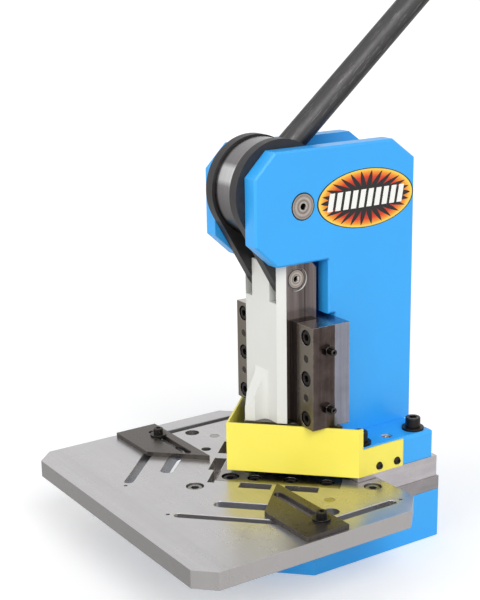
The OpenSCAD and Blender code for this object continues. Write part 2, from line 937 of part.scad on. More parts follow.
module upper_blade(v_start) {
    difference() {
        edge_box(v_start, blade_v, punch_u - punch_blade_t, punch_u, punch_z, shoulder_z);
        // rear corner cut off in front of the foot and its spacer
        box(-table_w, table_w, foot_front - 3, foot_front + 40, punch_z - 1, shoulder_z + 1);
        for (i = [0:2])
            rotate([0, 0, 45])
                translate([blade_bolt_v + i * blade_bolt_pitch, -punch_u, shoulder_z - 20])
                    rotate([-90, 0, 0]) {
                        translate([0, 0, -1])
                            cylinder(d = 8 + 2 * bolt_gap, h = punch_blade_t + 2);
                        translate([0, 0, -1])
                            cylinder(d = 15, h = 11);
                    }
    }
}

module upper_blade_right() {
    color("lightgray")
        upper_blade(-punch_u);
}

module upper_blade_left() {
    color("lightgray")
        mirror([1, 0, 0])
            upper_blade(punch_blade_t - punch_u);
}

module upper_blade_screws() {
    color("dimgray")
        both_sides()
            for (i = [0:2])
                rotate([0, 0, 45])
                    translate([blade_bolt_v + i * blade_bolt_pitch, 10 - punch_u - fit_gap,
                        shoulder_z - 20])
                        rotate([90, 0, 0])
                            cap_screw(13, 8, 7, 4, 8, punch_blade_t - 10 + 11);
}

// ---------------------------------------------------------------- drive

module on_handle() {
    translate([0, handle_y, handle_z])
        rotate([handle_a - 90, 0, 0])
            children();
}

module eccentric_hub() {
    color("dimgray")
        difference() {
            union() {
                rod_x(ecc_y, ecc_z, -hub_w / 2, hub_w / 2, 2 * hub_r);
                rod_x(ecc_y, ecc_z, -journal_out, journal_out, 2 * journal_r);
            }
            rod_x(shaft_y, shaft_z, -journal_out - 1, journal_out + 1, shaft_d + 2 * fit_gap);
            // keyway under the shaft
            box(-20, 20, shaft_y - 6, shaft_y + 6, shaft_z - shaft_d / 2 - 3.5, shaft_z);
            on_handle()
                cylinder(d = handle_d + 2 * fit_gap, h = 140);
            on_handle()
                translate([-hub_w / 2 - 1, 0, 30])
                    rotate([0, 90, 0])
                        cylinder(d = 10 + 2 * fit_gap, h = hub_w + 2);
        }
}

module main_shaft() {
    color("silver")
        difference() {
            rod_x(shaft_y, shaft_z, -plate_out - 0.5, plate_out + 0.5, shaft_d);
            box(-20, 20, shaft_y - 6, shaft_y + 6, shaft_z - shaft_d / 2 - 1,
                shaft_z - shaft_d / 2 + 4.5);
            centre_holes(plate_out + 0.5, shaft_z);
        }
}

module shaft_key() {
    color("silver")
        box(-20, 20, shaft_y - 6, shaft_y + 6, shaft_z - shaft_d / 2 - 3.5,
            shaft_z - shaft_d / 2 + 4.5);
}

module handle_tube() {
    color("black")
        on_handle()
            difference() {
                cylinder(d = handle_d, h = handle_l);
                translate([0, 0, -1])
                    cylinder(d = handle_d - 2 * handle_wall, h = handle_l + 2);
                translate([-handle_d, 0, 30])
                    rotate([0, 90, 0])
                        cylinder(d = 10 + 2 * fit_gap, h = 2 * handle_d);
            }
}

module handle_pin() {
    color("silver")
        on_handle()
            translate([-hub_w / 2 + 0.5, 0, 30])
                rotate([0, 90, 0])
                    cylinder(d = 10, h = hub_w - 1);
}

module handle_cap() {
    color("black")
        on_handle()
            translate([0, 0, handle_l]) {
                translate([0, 0, -20])
                    cylinder(d = handle_d - 2 * handle_wall - 2 * fit_gap, h = 21);
                translate([0, 0, fit_gap])
                    cylinder(d = handle_d, h = 3);
                translate([0, 0, 3])
                    cylinder(d1 = handle_d, d2 = handle_d - 8, h = 4);
            }
}

module link() {
    dy = strap_y - shaft_y;
    dz = ecc_z - pin_z;
    d = norm([dy, dz]);
    s = (link_big_r - link_small_r) / d;
    k = sqrt(1 - s * s);
    uy = dy / d;
    uz = dz / d;
    // outward normals of the two tangent sides
    ay = uz * k - uy * s;
    az = -uy * k - uz * s;
    by = -uz * k - uy * s;
    bz = uy * k - uz * s;
    difference() {
        union() {
            rod_x(strap_y, ecc_z, link_in, link_out, 2 * link_big_r);
            rod_x(shaft_y, pin_z, link_in, link_out, 2 * link_small_r);
            prism_x([[strap_y + link_big_r * ay, ecc_z + link_big_r * az],
                [shaft_y + link_small_r * ay, pin_z + link_small_r * az],
                [shaft_y + link_small_r * by, pin_z + link_small_r * bz],
                [strap_y + link_big_r * by, ecc_z + link_big_r * bz]], link_in, link_out);
        }
        rod_x(strap_y, ecc_z, link_in - 1, link_out + 1, 2 * (journal_r + strap_gap));
        rod_x(shaft_y, pin_z, link_in - 1, link_out + 1, ram_pin_d + 2 * run_gap);
    }
}

module link_right() {
    color("dimgray")
        link();
}

module link_left() {
    color("dimgray")
        mirror([1, 0, 0])
            link();
}

// ---------------------------------------------------------------- gauges

module gauge(tip) {
    x0 = tip[0];
    y0 = tip[1];
    difference() {
        slab([[x0, y0], [x0 + gauge_depth, y0 - gauge_depth],
            [x0 + gauge_l, y0 - gauge_depth], [x0 + gauge_l, y0]], gauge_z, gauge_top);
        slot_cut([x0 + 35, y0 - gauge_slot_in], [x0 + 145, y0 - gauge_slot_in],
            gauge_slot_w, gauge_z, gauge_top, 0.8);
    }
}

module gauge_screw(p) {
    translate([p[0], p[1], gauge_clamp_z + gauge_washer_t])
        cap_screw(16, gauge_head_h, 9, 5, 10, gauge_clamp_z + gauge_washer_t - plate_top + 12);
}

module gauge_washer(p) {
    difference() {
        rod_z(p[0], p[1], gauge_clamp_z, gauge_clamp_z + gauge_washer_t, 27);
        rod_z(p[0], p[1], gauge_top - 1, gauge_top + gauge_washer_t + 1, 10 + 2 * run_gap);
    }
}

module gauge_nut(p, turn) {
    translate([p[0], p[1], 0])
        rotate([0, 0, turn])
            difference() {
                union() {
                    box(-14, 14, -14, 14, plate_top - flat_gap - 10, plate_top - flat_gap);
                    rod_z(0, 0, plate_top - 1, table_top - 6, slot_w - 2 * flat_gap);
                }
                rod_z(0, 0, plate_top - 12, table_top, 10 + 2 * run_gap);
            }
}

module gauge_right() {
    color("dimgray")
        gauge(right_tip);
}

module gauge_left() {
    color("dimgray")
        mirror([1, 0, 0])
            gauge(left_tip);
}

module gauge_screw_right() {
    color("gray")
        gauge_screw(right_screw);
}

module gauge_screw_left() {
    color("gray")
        mirror([1, 0, 0])
            gauge_screw(left_screw);
}

module gauge_washer_right() {
    color("silver")
        gauge_washer(right_screw);
}

module gauge_washer_left() {
    color("silver")
        mirror([1, 0, 0])
            gauge_washer(left_screw);
}

module gauge_nut_right() {
    color("dimgray")
        gauge_nut(right_screw, 0);
}

module gauge_nut_left() {
    color("dimgray")
        mirror([1, 0, 0])
            gauge_nut(left_screw, 45);
}

base_box();
base_plate();
table();
spacer_block();
foot();
side_plate_left();
side_plate_right();
back_web();
bush_left();
bush_right();
foot_bolts();
foot_washers();
guard();
guard_screws();
guide_back_plate();
guide_plate_screws();
keeper_left();
keeper_right();
keeper_screws();
keeper_dowels();
gib_left();
gib_right();
gib_set_screws();
gib_lock_nuts();
lower_blade_left();
lower_blade_right();
lower_blade_screws();
corner_screw();
table_screws();
table_dowels();
ram();
ram_pin();
punch_holder();
holder_screws();
upper_blade_left();
upper_blade_right();
upper_blade_screws();
eccentric_hub();
main_shaft();
shaft_key();
handle_tube();
handle_pin();
handle_cap();
link_left();
link_right();
gauge_left();
gauge_right();
gauge_screw_left();
gauge_screw_right();
gauge_washer_left();
gauge_washer_right();
gauge_nut_left();
gauge_nut_right();
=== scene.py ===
# Hand lever corner notcher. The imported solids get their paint, ground steel and black oxide here,
# and the small things that the solids leave out are added piece by piece.
import math

import bpy
from mathutils import Matrix, Vector


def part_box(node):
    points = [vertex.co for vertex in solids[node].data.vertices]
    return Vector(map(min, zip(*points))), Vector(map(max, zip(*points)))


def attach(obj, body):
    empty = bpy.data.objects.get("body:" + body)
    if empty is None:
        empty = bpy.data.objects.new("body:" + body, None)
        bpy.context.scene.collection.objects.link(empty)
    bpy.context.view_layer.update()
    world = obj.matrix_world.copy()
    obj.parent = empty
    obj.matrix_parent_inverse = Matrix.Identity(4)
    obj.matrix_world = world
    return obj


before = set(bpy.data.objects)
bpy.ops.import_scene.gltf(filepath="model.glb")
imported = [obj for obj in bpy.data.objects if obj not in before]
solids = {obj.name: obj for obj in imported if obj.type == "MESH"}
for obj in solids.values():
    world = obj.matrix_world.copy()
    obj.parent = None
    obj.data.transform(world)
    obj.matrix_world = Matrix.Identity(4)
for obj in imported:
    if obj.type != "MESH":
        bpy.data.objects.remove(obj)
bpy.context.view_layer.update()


# ---- Base box, foot, side plates and web -------------------------------------------------
# Flame-cut steel plates, welded and sprayed sky blue over the whole weldment. The paint has a
# fine orange peel, and its edges are a little thin and rubbed; their paler blue is partly a
# painted highlight.

def shade(red, green, blue):
    """A colour read from 0 to 255 as a screen shows it, turned into the renderer's values."""
    parts = []
    for part in (red, green, blue):
        part = part / 255
        parts.append(part / 12.92 if part <= 0.04045 else ((part + 0.055) / 1.055) ** 2.4)
    return (*parts, 1.0)


def put(tree, kind, **settings):
    """A new node in the tree; names of its sockets are written with _ for a space."""
    node = tree.nodes.new(kind)
    for name, value in settings.items():
        socket = name.replace("_", " ")
        if socket in node.inputs:
            node.inputs[socket].default_value = value
        else:
            setattr(node, name, value)
    return node


def calc(tree, operation, first, second=None, third=None, clamp=False):
    """A math node whose inputs are numbers or other nodes' outputs."""
    node = tree.nodes.new("ShaderNodeMath")
    node.operation = operation
    node.use_clamp = clamp
    for place, given in enumerate((first, second, third)):
        if given is None:
            continue
        if isinstance(given, (int, float)):
            node.inputs[place].default_value = given
        else:
            tree.links.new(given, node.inputs[place])
    return node.outputs[0]


def blend_colours(tree, factor, low, high, blend="MIX"):
    """Mixes two colours, each given as a tuple or as an output."""
    node = put(tree, "ShaderNodeMix", data_type="RGBA", blend_type=blend)
    for place, given in ((0, factor), (6, low), (7, high)):
        if isinstance(given, (int, float, tuple)):
            node.inputs[place].default_value = given
        else:
            tree.links.new(given, node.inputs[place])
    return node.outputs[2]


def start_group(name, inputs, outputs):
    """An empty shader group with named sockets, and its two end nodes."""
    group = bpy.data.node_groups.new(name, "ShaderNodeTree")
    for socket, value in inputs.items():
        made = group.interface.new_socket(socket, in_out="INPUT", socket_type="NodeSocketFloat")
        made.default_value = value
    for socket, kind in outputs.items():
        group.interface.new_socket(socket, in_out="OUTPUT", socket_type=kind)
    return group, group.nodes.new("NodeGroupInput"), group.nodes.new("NodeGroupOutput")


# where edges are rubbed and where they carry a painted glint: the rounded normal leaves the true
# one only near an edge
edge_wear_and_glint, given, out = start_group(
    "edge_wear_and_glint",
    {"Radius": 0.0015, "Reach": 0.2, "Breakup Scale": 80.0},
    {"Mask": "NodeSocketFloat", "Rounded Normal": "NodeSocketVector"},
)
rounded = put(edge_wear_and_glint, "ShaderNodeBevel", samples=4)
edge_wear_and_glint.links.new(given.outputs["Radius"], rounded.inputs["Radius"])
surface = put(edge_wear_and_glint, "ShaderNodeNewGeometry")
facing = put(edge_wear_and_glint, "ShaderNodeVectorMath", operation="DOT_PRODUCT")
edge_wear_and_glint.links.new(rounded.outputs[0], facing.inputs[0])
edge_wear_and_glint.links.new(surface.outputs["Normal"], facing.inputs[1])
places = put(edge_wear_and_glint, "ShaderNodeTexCoord")
patches = put(edge_wear_and_glint, "ShaderNodeTexNoise", Detail=3.0)
edge_wear_and_glint.links.new(places.outputs["Object"], patches.inputs["Vector"])
edge_wear_and_glint.links.new(given.outputs["Breakup Scale"], patches.inputs["Scale"])
turned = calc(edge_wear_and_glint, "SUBTRACT", 1.0, facing.outputs["Value"])
turned = calc(edge_wear_and_glint, "DIVIDE", turned, given.outputs["Reach"], clamp=True)
broken = calc(edge_wear_and_glint, "MULTIPLY_ADD", patches.outputs[0], 3.0, -0.9, clamp=True)
edge_wear_and_glint.links.new(calc(edge_wear_and_glint, "MULTIPLY", turned, broken), out.inputs["Mask"])
edge_wear_and_glint.links.new(rounded.outputs[0], out.inputs["Rounded Normal"])

# clouds of handling marks, from fine to broad
smears, given, out = start_group(
    "smears", {"Scale": 9.0, "Contrast": 1.0}, {"Cloud": "NodeSocketFloat"}
)
places = put(smears, "ShaderNodeTexCoord")
cloud = put(smears, "ShaderNodeTexNoise", Detail=6.0, Roughness=0.6)
smears.links.new(places.outputs["Object"], cloud.inputs["Vector"])
smears.links.new(given.outputs["Scale"], cloud.inputs["Scale"])
centred = calc(smears, "SUBTRACT", cloud.outputs[0], 0.5)
spread = calc(smears, "MULTIPLY", centred, given.outputs["Contrast"])
smears.links.new(calc(smears, "ADD", spread, 0.5, clamp=True), out.inputs["Cloud"])

# the dimpled skin of sprayed paint
orange_peel, given, out = start_group(
    "orange_peel", {"Scale": 420.0}, {"Height": "NodeSocketFloat"}
)
places = put(orange_peel, "ShaderNodeTexCoord")
dimples = put(orange_peel, "ShaderNodeTexNoise", Detail=2.0)
orange_peel.links.new(places.outputs["Object"], dimples.inputs["Vector"])
orange_peel.links.new(given.outputs["Scale"], dimples.inputs["Scale"])
orange_peel.links.new(dimples.outputs[0], out.inputs["Height"])


def use(tree, group, **settings):
    """Places a shared group in a material with that material's own values."""
    node = put(tree, "ShaderNodeGroup", node_tree=group)
    for name, value in settings.items():
        node.inputs[name.replace("_", " ")].default_value = value
    return node


def start_material(name):
    """A new material, its node tree and its skin, the Principled node."""
    material = bpy.data.materials.new(name)
    material.use_nodes = True
    tree = material.node_tree
    return material, tree, tree.nodes["Principled BSDF"]


def colour_so_far(material):
    """The tree and skin of a finished material, and the output that colours it."""
    tree = material.node_tree
    skin = tree.nodes["Principled BSDF"]
    return tree, skin, skin.inputs["Base Color"].links[0].from_socket


def place_split(tree, kind="Object"):
    """X, Y and Z of each spot, or of its normal, in the frame's own axes."""
    places = put(tree, "ShaderNodeTexCoord")
    split = put(tree, "ShaderNodeSeparateXYZ")
    tree.links.new(places.outputs[kind], split.inputs[0])
    return split.outputs["X"], split.outputs["Y"], split.outputs["Z"]


def scaled(colour, factor):
    """A colour made darker or lighter, and kept within what a surface can reflect."""
    return tuple(min(1.0, factor * part) for part in colour[:3]) + (1.0,)


def sprayed_paint(name, colour, worn, gloss, peel=0.00004, wear=0.5, radius=0.0012):
    """Paint on steel: cloudy tone, peel in the skin, thin rubbed edges, which where paler are
    partly a painted highlight.
    """
    material, tree, skin = start_material(name)
    edges = use(tree, edge_wear_and_glint, Radius=radius, Reach=0.24, Breakup_Scale=70.0)
    marks = use(tree, smears, Scale=11.0, Contrast=1.5)
    toned = blend_colours(tree, marks.outputs[0], scaled(colour, 0.93), colour)
    # edges take the worn colour, as rubbed wear and, where it is paler, as a painted highlight
    rubbed_and_glinting = calc(tree, "MULTIPLY", edges.outputs["Mask"], wear)
    tree.links.new(blend_colours(tree, rubbed_and_glinting, toned, worn), skin.inputs["Base Color"])
    cloud = 0.12
    dulled = calc(tree, "MULTIPLY_ADD", marks.outputs[0], cloud, gloss - cloud / 2)
    tree.links.new(dulled, skin.inputs["Roughness"])
    bump = put(tree, "ShaderNodeBump", Strength=0.6, Distance=peel)
    tree.links.new(use(tree, orange_peel).outputs[0], bump.inputs["Height"])
    tree.links.new(edges.outputs["Rounded Normal"], bump.inputs["Normal"])
    tree.links.new(bump.outputs[0], skin.inputs["Normal"])
    return material


def paint_light_on_faces(material, toward, colour, share):
    """Painted light and shade: the faces that look one way take more of another colour."""
    tree, skin, before = colour_so_far(material)
    places = put(tree, "ShaderNodeTexCoord")
    along = put(tree, "ShaderNodeVectorMath", operation="DOT_PRODUCT")
    tree.links.new(places.outputs["Normal"], along.inputs[0])
    along.inputs[1].default_value = toward
    facing = calc(tree, "SUBTRACT", along.outputs["Value"], 0.6)
    facing = calc(tree, "MULTIPLY", facing, 4.0, clamp=True)
    mixed = blend_colours(tree, calc(tree, "MULTIPLY", facing, share), before, colour)
    tree.links.new(mixed, skin.inputs["Base Color"])


def dress(material, *names):
    """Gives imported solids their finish."""
    for name in names:
        for place in solids[name].material_slots:
            place.material = material


# the paler blue on the rubbed edges is partly a painted highlight
sky_blue = sprayed_paint("sky_blue_paint", shade(54, 174, 252), shade(150, 212, 252), 0.33)
dress(sky_blue, "base_box", "foot", "side_plate_left", "side_plate_right", "back_web")


# ---- Oval badge ------------------------------------------------------------------------------
# A printed oval of thin vinyl on the right side plate: black, with a yellow line, a ring of
# pointed rays from red to yellow, and a row of slanted white bars across its middle.

def ramp(tree, factor, *stops):
    """A colour for each place along a factor, from (place, colour) pairs."""
    node = put(tree, "ShaderNodeValToRGB")
    for extra in stops[2:]:
        node.color_ramp.elements.new(extra[0])
    for element, (place, colour) in zip(node.color_ramp.elements, sorted(stops)):
        element.position = place
        element.color = colour
    tree.links.new(factor, node.inputs[0])
    return node.outputs[0]


def plain_mesh(name, verts, faces, smooth=True):
    """A mesh object from plain lists, shaded smooth or flat."""
    mesh = bpy.data.meshes.new(name)
    mesh.from_pydata(verts, [], faces)
    mesh.update()
    for face in mesh.polygons:
        face.use_smooth = smooth
    piece = bpy.data.objects.new(name, mesh)
    bpy.context.scene.collection.objects.link(piece)
    return piece


badge_half_y, badge_half_z, badge_t = 0.093, 0.0455, 0.0004
badge_y, badge_z, badge_lift = 0.036, 0.557, 0.00002
badge_rays, ray_root, ray_least, ray_more = 26, 0.93, 0.1, 0.42
badge_bars, bars_along, bars_up, bar_share, bar_slant = 10, 0.8, 0.3, 0.66, 0.09
line_from, edge_from = 0.95, 0.975

badge_print, tree, skin = start_material("badge_print")
place_y, place_z = place_split(tree)[1:]
along = calc(tree, "DIVIDE", place_y, badge_half_y)
up = calc(tree, "DIVIDE", place_z, badge_half_z)
radius = calc(tree, "MULTIPLY_ADD", along, along, calc(tree, "MULTIPLY", up, up))
radius = calc(tree, "SQRT", radius)
angle = calc(tree, "ARCTAN2", up, along)
tooth = calc(tree, "PINGPONG", calc(tree, "MULTIPLY", angle, badge_rays / math.pi), 1.0)
height = calc(tree, "ABSOLUTE", calc(tree, "SINE", angle))
ray = calc(tree, "MULTIPLY", tooth, calc(tree, "MULTIPLY_ADD", height, ray_more, ray_least))
ray_start = calc(tree, "SUBTRACT", ray_root, ray)
on_ray = calc(tree, "GREATER_THAN", radius, ray_start)
heat = calc(tree, "MULTIPLY", calc(tree, "SUBTRACT", radius, 0.5), 2.3, clamp=True)
rays = ramp(tree, heat, (0.0, shade(150, 22, 16)), (0.5, shade(222, 62, 24)),
            (0.82, shade(244, 146, 38)), (1.0, shade(252, 206, 78)))
printed = blend_colours(tree, on_ray, shade(24, 18, 17), rays)
slanted = calc(tree, "MULTIPLY_ADD", up, -bar_slant, along)
bar = calc(tree, "FRACT", calc(tree, "MULTIPLY", slanted, badge_bars / 2 / bars_along))
bar = calc(tree, "ABSOLUTE", calc(tree, "SUBTRACT", bar, 0.5))
bar = calc(tree, "LESS_THAN", bar, bar_share / 2)
for extent, limit in ((along, bars_along), (up, bars_up)):
    within = calc(tree, "LESS_THAN", calc(tree, "ABSOLUTE", extent), limit)
    bar = calc(tree, "MULTIPLY", bar, within)
printed = blend_colours(tree, bar, printed, shade(246, 246, 240))
on_line = calc(tree, "GREATER_THAN", radius, line_from)
printed = blend_colours(tree, on_line, printed, shade(250, 214, 84))
on_edge = calc(tree, "GREATER_THAN", radius, edge_from)
printed = blend_colours(tree, on_edge, printed, shade(20, 18, 18))
marks = use(tree, smears, Scale=24.0, Contrast=1.4)
tree.links.new(printed, skin.inputs["Base Color"])
tree.links.new(calc(tree, "MULTIPLY_ADD", marks.outputs[0], 0.16, 0.2), skin.inputs["Roughness"])
bump = put(tree, "ShaderNodeBump", Strength=0.3, Distance=0.00002)
tree.links.new(use(tree, orange_peel, Scale=900.0).outputs[0], bump.inputs["Height"])
tree.links.new(bump.outputs[0], skin.inputs["Normal"])

verts, faces, around = [], [], 128
rings = ((0.0, 1.0), (0.7, 1.0), (1.0, 0.992), (1.0, 0.9), (1.0, 0.6), (1.0, 0.3))
for lift, reach in rings:
    for step in range(around):
        angle = 2 * math.pi * step / around
        verts.append((badge_t * lift, badge_half_y * reach * math.cos(angle),
                      badge_half_z * reach * math.sin(angle)))
verts.append((badge_t, 0, 0))
last = len(rings) - 1
for ring in range(last):
    for step in range(around):
        here, there = ring * around + step, ring * around + (step + 1) % around
        faces.append((here, there, there + around, here + around))
for step in range(around):
    here, there = last * around + step, last * around + (step + 1) % around
    faces.append((here, there, len(rings) * around))
badge = plain_mesh("badge_oval", verts, faces, smooth=False)
badge.location = (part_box("side_plate_right")[1].x + badge_lift, badge_y, badge_z)
badge.data.materials.append(badge_print)
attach(badge, "frame")


# ---- Weld beads behind the frame ----------------------------------------------------------
# The web is welded to both side plates, and plates and web to the foot. Each bead is a row of
# overlapping ripples, laid before the paint.

weld_ripple, weld_step, weld_root = 0.0026, 0.0009, 0.0002


def weld_bead(name, start, end, side_a, side_b, leg):
    """A fillet in the corner between two walls, with ripples along it."""
    start, end = Vector(start), Vector(end)
    side_a, side_b = Vector(side_a), Vector(side_b)
    run = end - start
    steps = int(run.length / weld_step)
    bow = 7
    verts, faces = [], []
    for step in range(steps + 1):
        along = start + run * step / steps
        phase = (step * run.length / steps) % weld_ripple / weld_ripple
        swell = 1.0 + 0.10 * math.sin(math.pi * phase) + 0.04 * math.sin(step * 0.37)
        taper = min(1.0, 0.35 + step / 6, 0.35 + (steps - step) / 6)
        for point in range(bow):
            angle = math.pi / 2 * point / (bow - 1)
            crown = 1.0 - 0.22 * math.sin(2 * angle)
            reach = leg * swell * taper * crown
            outward = side_a * math.cos(angle) * reach + side_b * math.sin(angle) * reach
            verts.append(along + outward)
        verts.append(along - (side_a + side_b) * weld_root)
    ring = bow + 1
    for step in range(steps):
        for point in range(ring):
            other = (point + 1) % ring
            here, there = step * ring, (step + 1) * ring
            faces.append((here + point, here + other, there + other, there + point))
    faces.append(tuple(reversed(range(ring))))
    faces.append(tuple(steps * ring + point for point in range(ring)))
    bead = plain_mesh(name, verts, faces)
    bead.data.materials.append(sky_blue)
    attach(bead, "frame")


plate_inner = 0.0412
web_leg, plate_leg, foot_leg = 0.0045, 0.005, 0.0035
web_low, web_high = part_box("back_web")
foot_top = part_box("foot")[1].z
bead_low, bead_high = foot_top + 0.004, web_high.z - 0.004
plate_bead_front, plate_bead_rear = -0.016, web_low.y - 0.006
foot_bead_x = 0.036
for side, tag in ((-1, "left"), (1, "right")):
    wall = side * plate_inner
    inward = (-side, 0, 0)
    weld_bead("weld_web_rear_" + tag, (wall, web_high.y, bead_low),
              (wall, web_high.y, bead_high), inward, (0, 1, 0), web_leg)
    weld_bead("weld_web_front_" + tag, (wall, web_low.y, bead_low),
              (wall, web_low.y, bead_high), inward, (0, -1, 0), web_leg)
    weld_bead("weld_plate_foot_" + tag, (wall, plate_bead_front, foot_top),
              (wall, plate_bead_rear, foot_top), inward, (0, 0, 1), plate_leg)
weld_bead("weld_web_foot", (-foot_bead_x, web_high.y, foot_top),
          (foot_bead_x, web_high.y, foot_top), (0, 1, 0), (0, 0, 1), foot_leg)


# ---- Threads of the two jacking holes ----------------------------------------------------------
# A coarse thread is tapped through the foot at each side after painting, so its flanks are bright
# steel inside the blue.

metal_grain, given, out = start_group(
    "metal_grain",
    {"Lines X": 4.0, "Lines Y": 600.0, "Lines Z": 600.0},
    {"Height": "NodeSocketFloat", "Tone": "NodeSocketFloat"},
)
places = put(metal_grain, "ShaderNodeTexCoord")
stretch = put(metal_grain, "ShaderNodeCombineXYZ")
for axis in "XYZ":
    metal_grain.links.new(given.outputs["Lines " + axis], stretch.inputs[axis])
stretched = put(metal_grain, "ShaderNodeVectorMath", operation="MULTIPLY")
metal_grain.links.new(places.outputs["Object"], stretched.inputs[0])
metal_grain.links.new(stretch.outputs[0], stretched.inputs[1])
fine = put(metal_grain, "ShaderNodeTexNoise", Scale=1.0, Detail=1.0)
metal_grain.links.new(stretched.outputs[0], fine.inputs["Vector"])
coarse = put(metal_grain, "ShaderNodeTexNoise", Scale=0.12, Detail=2.0)
metal_grain.links.new(stretched.outputs[0], coarse.inputs["Vector"])
metal_grain.links.new(fine.outputs[0], out.inputs["Height"])
both = calc(metal_grain, "MULTIPLY_ADD", coarse.outputs[0], 0.6,
            calc(metal_grain, "MULTIPLY", fine.outputs[0], 0.4))
both = calc(metal_grain, "MULTIPLY_ADD", both, 2.4, -0.7, clamp=True)
metal_grain.links.new(both, out.inputs["Tone"])


def bare_metal(name, colour, roughness, lines, depth, contrast=0.16, glint=0.35, radius=0.0008,
               mottle=0.0, metal=1.0):
    """Ground or turned steel: lines of the tool, oily smears, dark stains, and edges made bright
    with a painted glint.
    """
    material, tree, skin = start_material(name)
    skin.inputs["Metallic"].default_value = metal
    edges = use(tree, edge_wear_and_glint, Radius=radius, Reach=0.2, Breakup_Scale=140.0)
    marks = use(tree, smears, Scale=7.0, Contrast=1.8)
    grain = use(tree, metal_grain, Lines_X=lines[0], Lines_Y=lines[1], Lines_Z=lines[2])
    dark, light = scaled(colour, 1 - contrast), scaled(colour, 1 + contrast)
    toned = blend_colours(tree, grain.outputs["Tone"], dark, light)
    stains = use(tree, smears, Scale=38.0, Contrast=3.0)
    stained = calc(tree, "MULTIPLY", stains.outputs[0], mottle)
    toned = blend_colours(tree, stained, toned, scaled(colour, 0.3))
    # the bright edge colour is a painted glint
    shine = tuple(min(1.0, part + glint) for part in colour[:3]) + (1.0,)
    rubbed_and_glinting = calc(tree, "MULTIPLY", edges.outputs["Mask"], 0.6)
    tree.links.new(blend_colours(tree, rubbed_and_glinting, toned, shine), skin.inputs["Base Color"])
    smear = 0.14
    clouded = calc(tree, "MULTIPLY_ADD", marks.outputs[0], smear, roughness - smear / 2)
    tree.links.new(clouded, skin.inputs["Roughness"])
    bump = put(tree, "ShaderNodeBump", Strength=0.5, Distance=depth)
    tree.links.new(grain.outputs["Height"], bump.inputs["Height"])
    tree.links.new(edges.outputs["Rounded Normal"], bump.inputs["Normal"])
    tree.links.new(bump.outputs[0], skin.inputs["Normal"])
    return material


def tapped_thread(name, centre, radius, low, high, pitch, depth, material):
    """The flanks of a thread in a hole, as one sheet that winds up with its pitch."""
    around, turns = 40, int((high - low) / pitch)
    profile = ((0.0, 0.0), (0.12, 0.0), (0.5, 1.0), (0.62, 1.0), (1.0, 0.0))
    verts, faces = [], []
    for step in range(around * turns + 1):
        angle = 2 * math.pi * step / around
        base = low + pitch * step / around
        for up, inward in profile:
            reach = radius - depth * inward
            verts.append((centre[0] + reach * math.cos(angle), centre[1] + reach * math.sin(angle),
                          min(base + up * pitch, high)))
    count = len(profile)
    for step in range(around * turns):
        for point in range(count - 1):
            here, there = step * count + point, (step + 1) * count + point
            faces.append((here, here + 1, there + 1, there))
    thread = plain_mesh(name, verts, faces, smooth=False)
    thread.data.materials.append(material)
    return thread


jack_x, jack_y, jack_r = 0.113, 0.0456, 0.0089
jack_low, jack_high = foot_top - 0.030, foot_top - 0.0012
jack_pitch, jack_depth = 0.0025, 0.0013
thread_steel = bare_metal("cut_thread_steel", shade(198, 194, 190), 0.3, (300, 300, 300), 0.00001)
for side, tag in ((-1, "left"), (1, "right")):
    thread = tapped_thread("jack_thread_" + tag, (side * jack_x, jack_y), jack_r,
                           jack_low, jack_high, jack_pitch, jack_depth, thread_steel)
    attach(thread, "frame")


# ---- Ground plate, spacer block and table --------------------------------------------------
# Mild steel, surface ground on every face. The wheel leaves fine straight lines, and the bare
# steel has a light film of oil with broad smears.

table_steel = bare_metal("ground_table_steel", shade(192, 190, 191), 0.28, (4, 300, 20), 0.000003,
                         contrast=0.05, mottle=0.05, metal=0.86)
# painted light and shade by facing: much darker on the front faces, a warmer grey on the right
# faces
paint_light_on_faces(table_steel, (0, -1, 0), shade(118, 115, 112), 0.75)
paint_light_on_faces(table_steel, (1, 0, 0), shade(176, 170, 166), 0.6)
dress(table_steel, "table")
block_steel = bare_metal("ground_block_steel", shade(204, 197, 198), 0.30, (5, 30, 300), 0.000006,
                         contrast=0.12, mottle=0.12)
dress(block_steel, "spacer_block")
plate_steel = bare_metal("ground_plate_steel", shade(166, 160, 160), 0.30, (5, 30, 300), 0.000006,
                         contrast=0.12, mottle=0.2)
dress(plate_steel, "base_plate")


# ---- Lower and upper blades -----------------------------------------------------------------
# Hardened tool steel bars, ground on all sides, with a little straw tint left by the wheel.

blade_steel = bare_metal("ground_blade_steel", shade(150, 146, 142), 0.24, (420, 420, 420),
                         0.00001, contrast=0.1, glint=0.5, radius=0.0005)
dress(blade_steel, "lower_blade_left", "lower_blade_right", "upper_blade_left",
      "upper_blade_right")
milled_steel = bare_metal("milled_holder_steel", shade(120, 118, 117), 0.38, (160, 160, 900),
                          0.00003)
dress(milled_steel, "punch_holder")


# ---- Socket screws, washers, nuts and dowels ------------------------------------------------
# Black oxide fasteners are oiled and nearly matt, with brown in the black. The table's own screws
# are bright, the dowels are ground, and the clamp screws and foot bolts have knurled heads.

